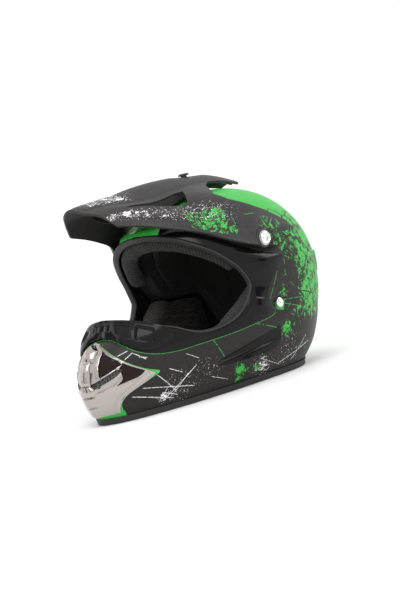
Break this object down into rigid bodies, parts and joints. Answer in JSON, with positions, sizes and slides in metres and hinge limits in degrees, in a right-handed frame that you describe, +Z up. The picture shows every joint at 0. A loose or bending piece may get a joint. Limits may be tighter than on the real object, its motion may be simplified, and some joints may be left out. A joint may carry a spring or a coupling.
{
  "type": "motocross helmet",
  "caption": "Full-face off-road helmet with a tilting peak, open eye port, pointed chin bar with a metal guard, padded liner and a ring-fastened chin strap.",
  "frame": {"origin": "middle of the footprint's box, on the surface that the rim trim stands on", "axes": "+Z up, the wearer faces -Y, the wearer's left is +X"},
  "size_m": [0.2592, 0.3929, 0.2735],
  "materials": {
    "shell_paint": "matte black lacquer with green and white splatter",
    "gloss_black": "gloss",
    "peak_plastic": "satin with splatter",
    "trim_rubber": "matte",
    "chrome": "bright plating",
    "smoked_window": "smoked gloss",
    "vent_mesh": "perforated",
    "green_trim": "gloss green",
    "foam": "moulded bead foam",
    "filter_foam": "open-cell foam",
    "liner_fabric": "knitted mesh",
    "snap_plastic": "moulded",
    "screw_metal": "polished",
    "nut_metal": "plated",
    "webbing": "woven webbing",
    "steel": "plated steel"
  },
  "bodies": {
    "shell": {"outer_shell": "shell_paint", "eyeport_surround": "gloss_black", "eyeport_trim": "trim_rubber", "rim_trim": "trim_rubber", "chin_deflector": "gloss_black", "chin_guard": "chrome", "chin_guard_lenses": "smoked_window", "chin_guard_mesh": "vent_mesh", "chin_guard_spine": "chrome", "chin_guard_screws": "steel", "side_vent_left": "gloss_black", "side_vent_right": "gloss_black", "rear_vent": "green_trim", "mouth_vent_foam": "filter_foam", "impact_liner": "foam", "chin_foam": "foam", "crown_pad": "liner_fabric", "brow_pad": "liner_fabric", "cheek_pad_left": "liner_fabric", "cheek_pad_right": "liner_fabric", "neck_roll": "liner_fabric", "liner_snaps": "snap_plastic", "visor_nuts": "nut_metal", "visor_spacer": "snap_plastic", "visor_washers": "steel", "strap_rivet_left": "screw_metal", "strap_rivet_right": "screw_metal"},
    "peak": {"visor": "peak_plastic"},
    "screw_left": {"visor_screw_left": "screw_metal"},
    "screw_right": {"visor_screw_right": "screw_metal"},
    "screw_top": {"visor_screw_top": "snap_plastic"},
    "chin_strap": {"strap_anchor_left": "steel", "strap_anchor_right": "steel", "strap_left": "webbing", "strap_right": "webbing", "strap_pad": "liner_fabric", "d_rings": "steel", "strap_snap": "snap_plastic"}
  },
  "joints": [
    {"name": "peak_tilt", "type": "hinge", "parent": "shell", "child": "peak", "pos_m": [0, 0.0385, 0.172], "axis": [1, 0, 0], "range_deg": [-3, 6]},
    {"name": "screw_left_turn", "type": "hinge", "parent": "shell", "child": "screw_left", "pos_m": [0.12, 0.0385, 0.172], "axis": [1, 0, 0], "continuous": true},
    {"name": "screw_right_turn", "type": "hinge", "parent": "shell", "child": "screw_right", "pos_m": [-0.12, 0.0385, 0.172], "axis": [-1, 0, 0], "continuous": true},
    {"name": "screw_top_turn", "type": "hinge", "parent": "shell", "child": "screw_top", "pos_m": [0, 0.0445, 0.26], "axis": [0, 0, 1], "continuous": true},
    {"name": "strap_swing", "type": "hinge", "parent": "shell", "child": "chin_strap", "pos_m": [0, 0.0425, 0.09], "axis": [1, 0, 0], "range_deg": [-10, 15]}
  ]
}
